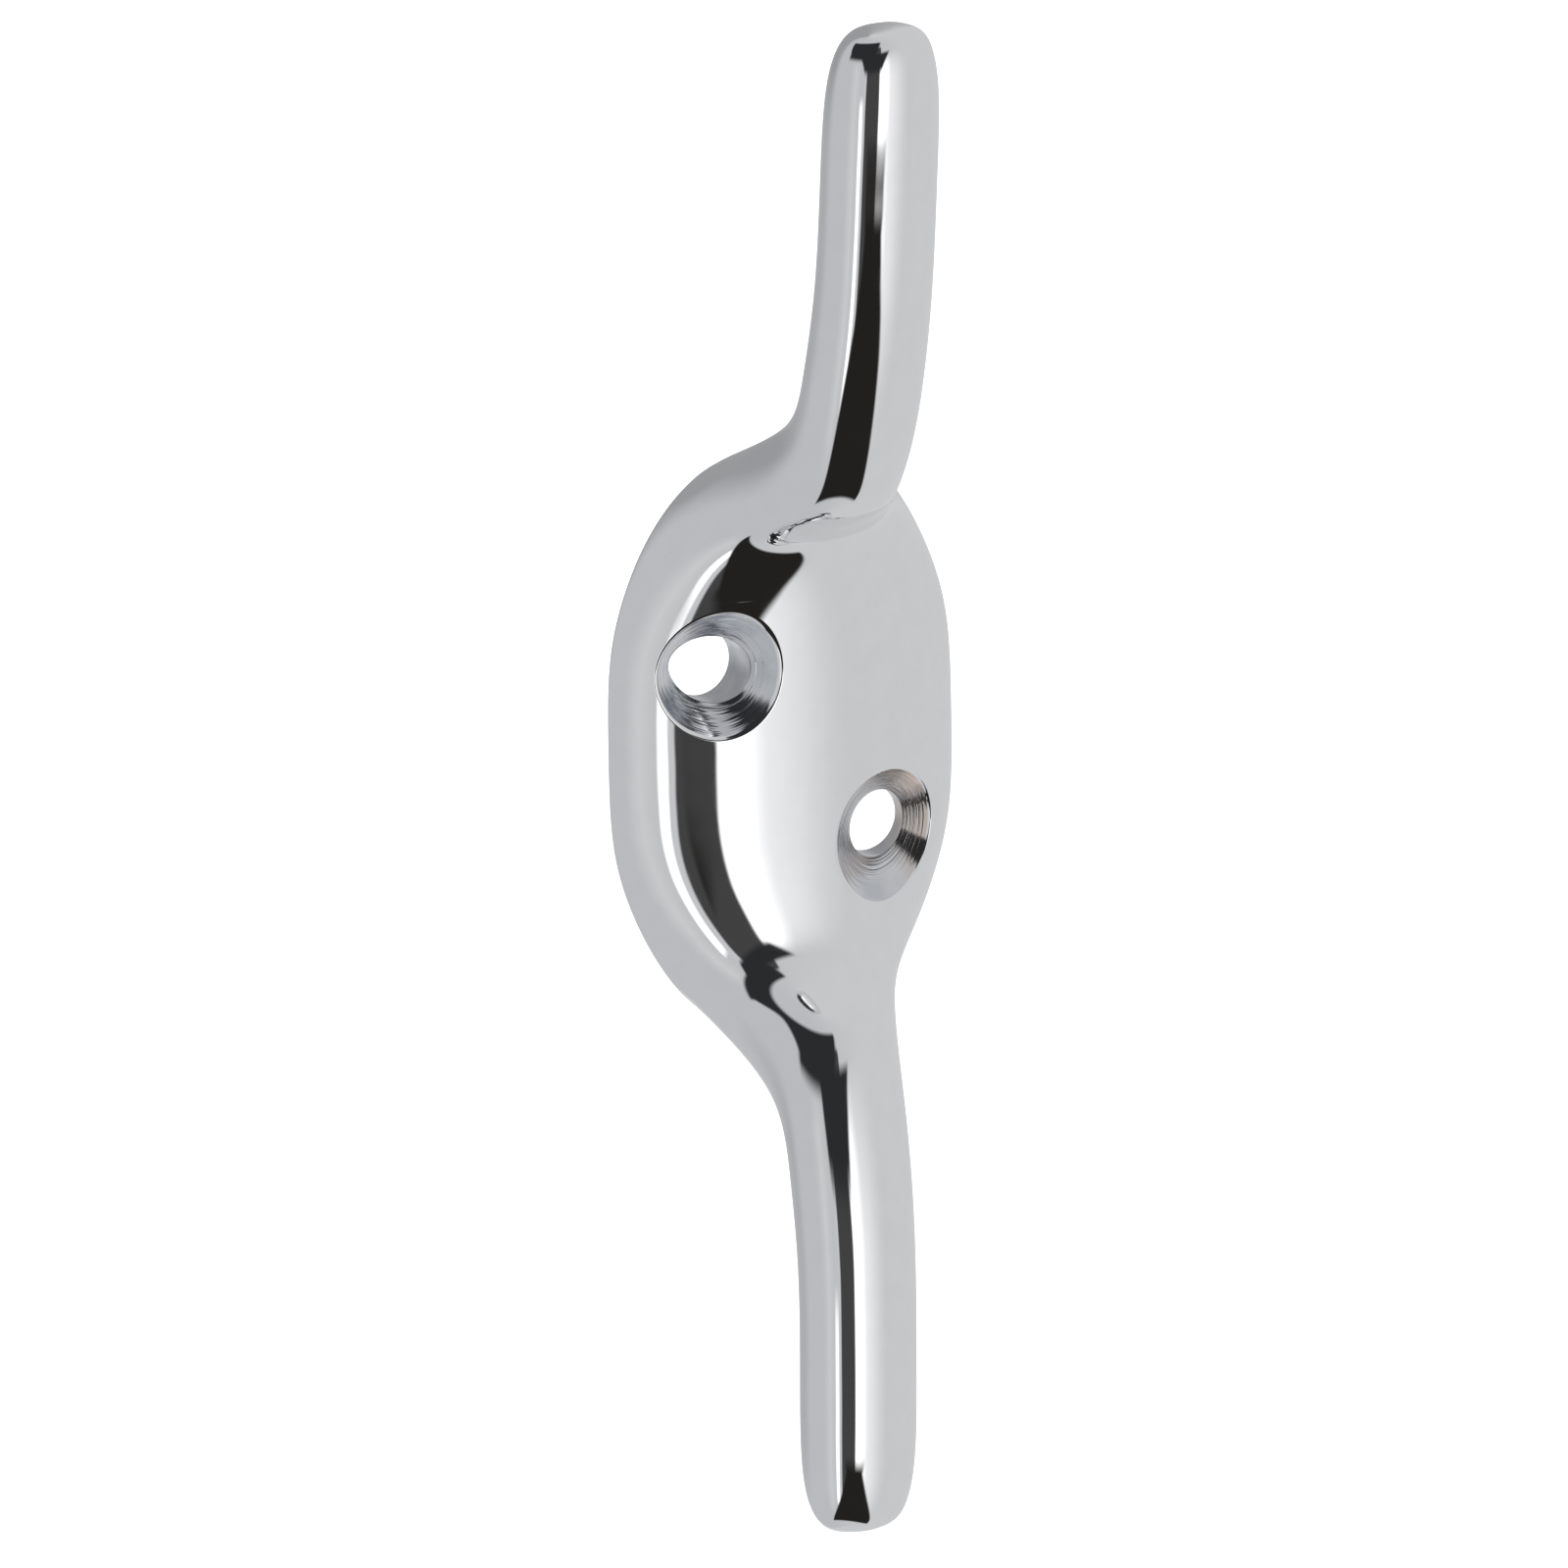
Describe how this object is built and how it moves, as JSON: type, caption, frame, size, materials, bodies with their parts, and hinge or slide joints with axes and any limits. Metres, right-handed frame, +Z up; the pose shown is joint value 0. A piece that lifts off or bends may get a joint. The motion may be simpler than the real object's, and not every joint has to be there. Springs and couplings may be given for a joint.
{
  "type": "cleat horn",
  "caption": "Wall cleat with opposed horns on a low oval dome, held by countersunk screws; a blind or curtain cord winds in figures of eight behind the horns.",
  "frame": {"origin": "centre of the flat back, on the wall's face", "axes": "+Z up along the two horns, +X to the right seen from the front, -Y forward out of the wall"},
  "size_m": [0.0188, 0.0111, 0.075],
  "materials": {
    "polished_chrome": "polished bright chrome plate, with fine turning marks in the countersinks"
  },
  "bodies": {
    "root": {"cleat_casting": "polished_chrome"}
  },
  "joints": []
}
